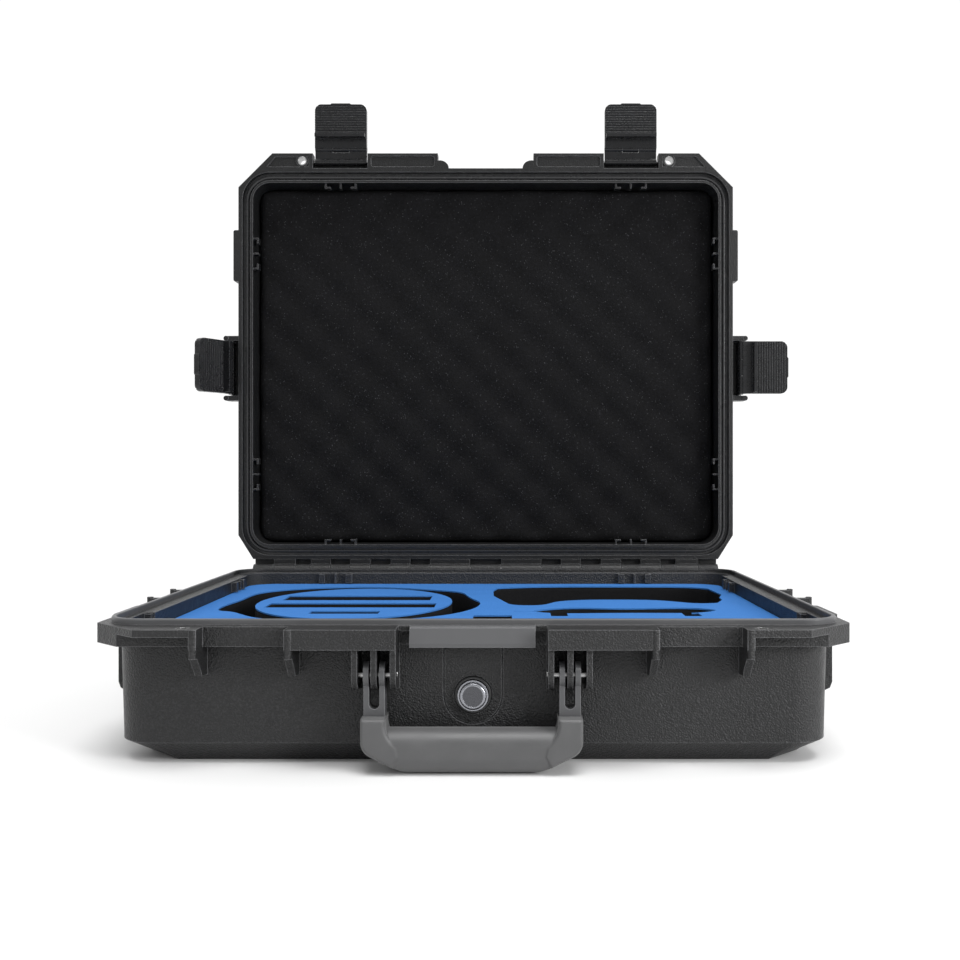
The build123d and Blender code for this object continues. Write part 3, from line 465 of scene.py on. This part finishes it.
def face_depth(x, z, edge):
    """How far the foam's face lies behind its highest peaks, at a place this far from its edge."""
    peak = 0.5 + 0.5 * math.cos(math.pi * x / PEAK_X) * math.cos(math.pi * z / PEAK_Z)
    lumps = noise.noise(Vector((x * LUMP_SCALE, z * LUMP_SCALE, 0.0))) * LUMP_H
    skirt = max(0.0, 1 - edge / EDGE_BAND)
    valley = PEAK_H * (1 - peak) ** VALLEY_POWER * (1 - 0.5 * skirt)
    return max(0, valley + EDGE_SINK * skirt ** 2 + lumps)


def cell_corners(grid, row, column):
    """The four vertices round one cell of a grid, in order."""
    return grid[row][column], grid[row][column + 1], grid[row + 1][column + 1], grid[row + 1][column]


def rim(grid):
    """The outline of a grid of vertices, in order."""
    around = list(grid[0])
    around += [row[-1] for row in grid[1:]]
    around += list(reversed(grid[-1][:-1]))
    around += [row[0] for row in reversed(grid[1:-1])]
    return around


def egg_crate():
    """The lid's foam: a closed slab whose face rises in peaks and whose rim waves a little."""
    low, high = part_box("lid_foam")
    centre_x, centre_z = (low.x + high.x) / 2, (low.z + high.z) / 2
    half_x, half_z = (high.x - low.x) / 2, (high.z - low.z) / 2
    face_y, back_y = low.y + FACE_ROOM, high.y - BACK_ROOM
    bm = bmesh.new()
    front, back = [], []
    for row in range(SLAB_ROWS + 1):
        v = -1 + 2 * row / SLAB_ROWS
        front.append([])
        back.append([])
        for column in range(SLAB_COLUMNS + 1):
            u = -1 + 2 * column / SLAB_COLUMNS
            x, z = rounded(u * half_x, v * half_z, half_x, half_z)
            depth = face_depth(x, z, min(half_x - abs(x), half_z - abs(z)))
            wave = noise.noise(Vector((x * LUMP_SCALE, z * LUMP_SCALE, 3.0)))
            inward = 1 - RIM_DRIFT * (1 + wave)
            on_face = (centre_x + x * inward, face_y + depth, centre_z + z * inward)
            on_back = (centre_x + x * BACK_SIZE, back_y, centre_z + z * BACK_SIZE)
            front[-1].append(bm.verts.new(on_face))
            back[-1].append(bm.verts.new(on_back))
    for row in range(SLAB_ROWS):
        for column in range(SLAB_COLUMNS):
            bm.faces.new(cell_corners(front, row, column))
            a, b, c, d = cell_corners(back, row, column)
            bm.faces.new((a, d, c, b))
    rim_front, rim_back = rim(front), rim(back)
    for i in range(len(rim_front)):
        j = (i + 1) % len(rim_front)
        bm.faces.new((rim_front[i], rim_back[i], rim_back[j], rim_front[j]))
    bmesh.ops.recalc_face_normals(bm, faces=bm.faces)
    mesh = bpy.data.meshes.new("egg_crate_foam")
    bm.to_mesh(mesh)
    bm.free()
    mesh.shade_smooth()
    stand_in(add("egg_crate_foam", mesh), "lid_foam")


egg_crate()


# ---------------------------------------------------------------- stage, light and camera

FLOOR_HALF = 30  # metres
FLOOR_DROP = 0.2 * MM
PALE_A, PALE_B = (0.70, 0.70, 0.70), (0.72, 0.72, 0.72)
CASE_MIDDLE = (0, 0, 0.1)


def floor():
    """A wide pale floor under the case."""
    bm = bmesh.new()
    bmesh.ops.create_grid(bm, x_segments=1, y_segments=1, size=FLOOR_HALF)
    mesh = bpy.data.meshes.new("floor")
    bm.to_mesh(mesh)
    bm.free()
    obj = add("floor", mesh)
    obj.location.z = -FLOOR_DROP
    s = Shader("floor_white")
    s.set("Roughness", 0.9)
    s.colour(s.mix(s.noise(3, 2, 0.5), PALE_A, PALE_B))
    mesh.materials.append(s.material)


def studio():
    """A world that is white behind the case and a little darker in front of it."""
    world = bpy.data.worlds.new("studio")
    world.use_nodes = True
    tree = world.node_tree
    background = tree.nodes["Background"]
    direction = tree.nodes.new("ShaderNodeTexCoord").outputs["Generated"]
    split = tree.nodes.new("ShaderNodeSeparateXYZ")
    tree.links.new(direction, split.inputs[0])
    fade = tree.nodes.new("ShaderNodeMapRange")
    fade.interpolation_type = "SMOOTHSTEP"
    for key, value in (("From Min", -0.3), ("From Max", 0.5), ("To Min", 0.62), ("To Max", 1.05)):
        fade.inputs[key].default_value = value
    tree.links.new(split.outputs["Y"], fade.inputs["Value"])
    tree.links.new(fade.outputs["Result"], background.inputs["Strength"])
    background.inputs["Color"].default_value = (1, 1, 1, 1)
    return world


def facing(direction):
    """The rotation that turns a light towards a direction."""
    return Vector(direction).to_track_quat("-Z", "Y").to_euler()


def area_light(name, place, size, power):
    """A soft rectangular light that faces the case."""
    data = bpy.data.lights.new(name, "AREA")
    data.shape = "RECTANGLE"
    data.size, data.size_y = size
    data.energy = power
    obj = add(name, data)
    obj.location = place
    obj.rotation_euler = facing(Vector(CASE_MIDDLE) - Vector(place))


def sun_light(name, direction, strength, spread):
    """A distant soft light: spread is the sun's width in degrees."""
    data = bpy.data.lights.new(name, "SUN")
    data.energy = strength
    data.angle = math.radians(spread)
    add(name, data).rotation_euler = facing(direction)


def level_camera(place, lens, shift):
    """The photograph's camera: it looks straight along the Y axis, and its shift frames the case."""
    data = bpy.data.cameras.new("camera")
    data.sensor_width = 36.0
    data.lens = lens
    data.shift_x, data.shift_y = shift
    camera = add("camera", data)
    camera.location = place
    camera.rotation_euler = (math.radians(90), 0, 0)
    return camera


floor()
scene.world = studio()
scene.view_settings.view_transform = "Standard"

sun_light("top", (-0.1, 0.30, -1), strength=2.3, spread=35)
area_light("key", (1.5, -1.2, 0.7), size=(0.7, 0.7), power=26)
area_light("fill", (-1.5, -1.3, 0.8), size=(1.0, 1.4), power=2)

scene.camera = level_camera(place=(0.0235, -0.915, 0.1915), lens=41.98, shift=(-0.0303, -0.009))
